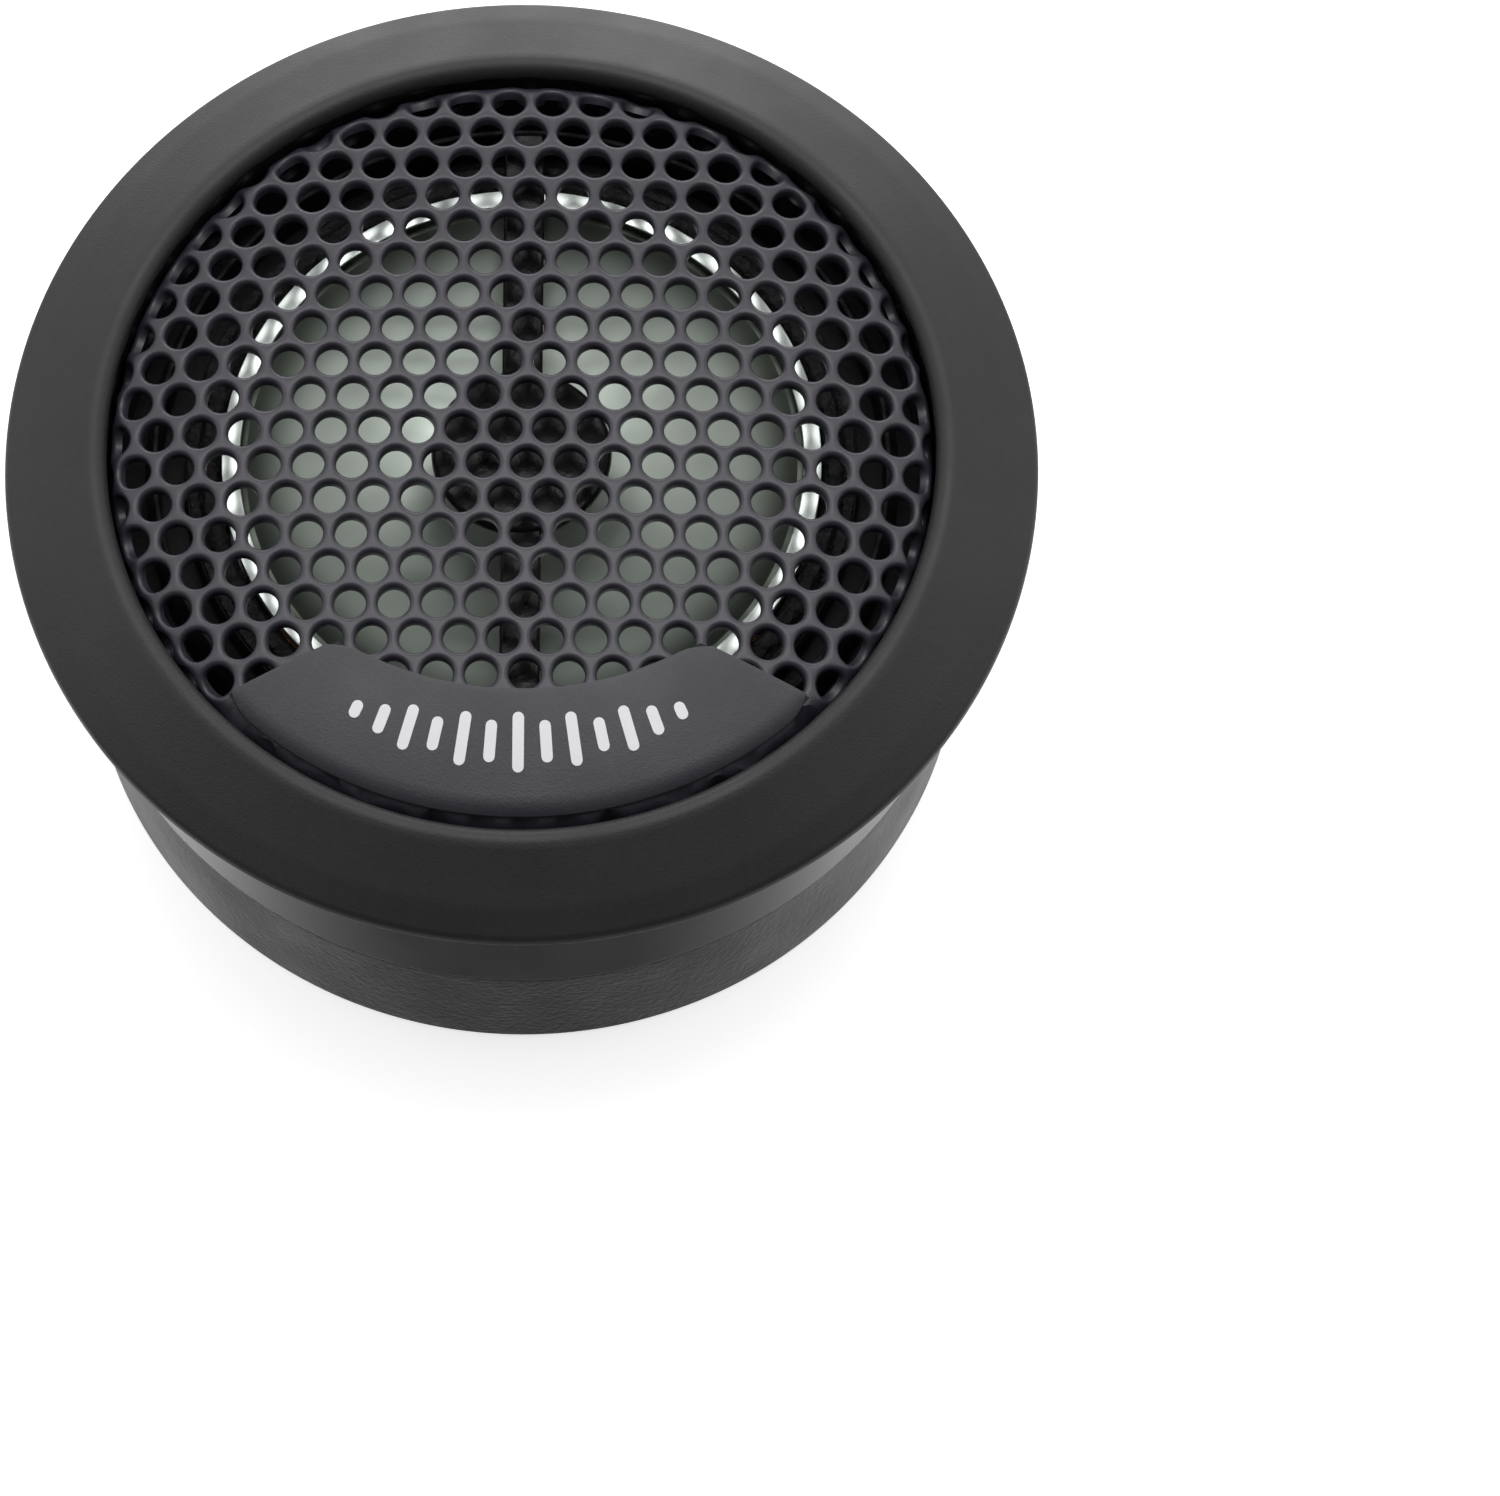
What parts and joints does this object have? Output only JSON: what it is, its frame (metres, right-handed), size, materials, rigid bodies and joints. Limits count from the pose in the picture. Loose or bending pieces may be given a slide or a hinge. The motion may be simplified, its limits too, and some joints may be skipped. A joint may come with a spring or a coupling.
{
  "type": "car tweeter",
  "caption": "Round car tweeter with a domed perforated grille, an inverted metal dome under a phase bar, and a pull-off surface-mount cup.",
  "frame": {"origin": "centre of the rear cup's flat base", "axes": "+Z along the speaker's axis, out through the grille; the badge is on the -Y side of the grille"},
  "size_m": [0.051, 0.051, 0.0244],
  "materials": {
    "cup_plastic": "fine leather-like spark-eroded texture",
    "housing_plastic": "finely textured flange, glossy sleeve",
    "grille_paint": "satin black paint on perforated steel",
    "badge_plastic": "fine matte texture with a printed mark",
    "adhesive_foam": "black foam tape",
    "frame_plastic": "satin moulded",
    "gasket_foam": "closed-cell foam",
    "surround_cloth": "coated woven cloth",
    "plug_plastic": "semi-gloss moulded",
    "dome_aluminium": "satin anodised with a bright rim",
    "former_aluminium": "bright foil",
    "copper_winding": "enamelled copper wire",
    "motor_steel": "zinc plated",
    "magnet_plating": "nickel plated",
    "felt": "pressed felt",
    "board_paper": "resin-bonded paper board",
    "terminal_brass": "tinned brass",
    "copper_braid": "braided copper",
    "grommet_rubber": "soft black rubber"
  },
  "bodies": {
    "cup": {"rear_cup": "cup_plastic", "wire_grommet": "grommet_rubber"},
    "head": {"front_housing": "housing_plastic", "grille": "grille_paint", "badge": "badge_plastic", "badge_pad": "adhesive_foam", "driver_frame": "frame_plastic", "frame_gasket": "gasket_foam", "retaining_ring": "frame_plastic", "surround": "surround_cloth", "phase_plug": "plug_plastic", "yoke": "motor_steel", "magnet": "magnet_plating", "top_plate": "motor_steel", "felt_pad": "felt", "terminal_board": "board_paper", "terminal_positive": "terminal_brass", "terminal_negative": "terminal_brass", "terminal_rivet_positive": "terminal_brass", "terminal_rivet_negative": "terminal_brass", "lead_positive": "copper_braid", "lead_negative": "copper_braid"},
    "diaphragm": {"dome": "dome_aluminium", "voice_coil_former": "former_aluminium", "voice_coil": "copper_winding"}
  },
  "joints": [
    {"name": "head_pull", "type": "slide", "parent": "cup", "child": "head", "axis": [0, 0, 1], "range_m": [0, 0.012]},
    {"name": "dome_travel", "type": "slide", "parent": "head", "child": "diaphragm", "axis": [0, 0, 1], "range_m": [-0.0003, 0.0003], "stiffness_N_per_m": 200, "deforming": ["surround"]}
  ]
}
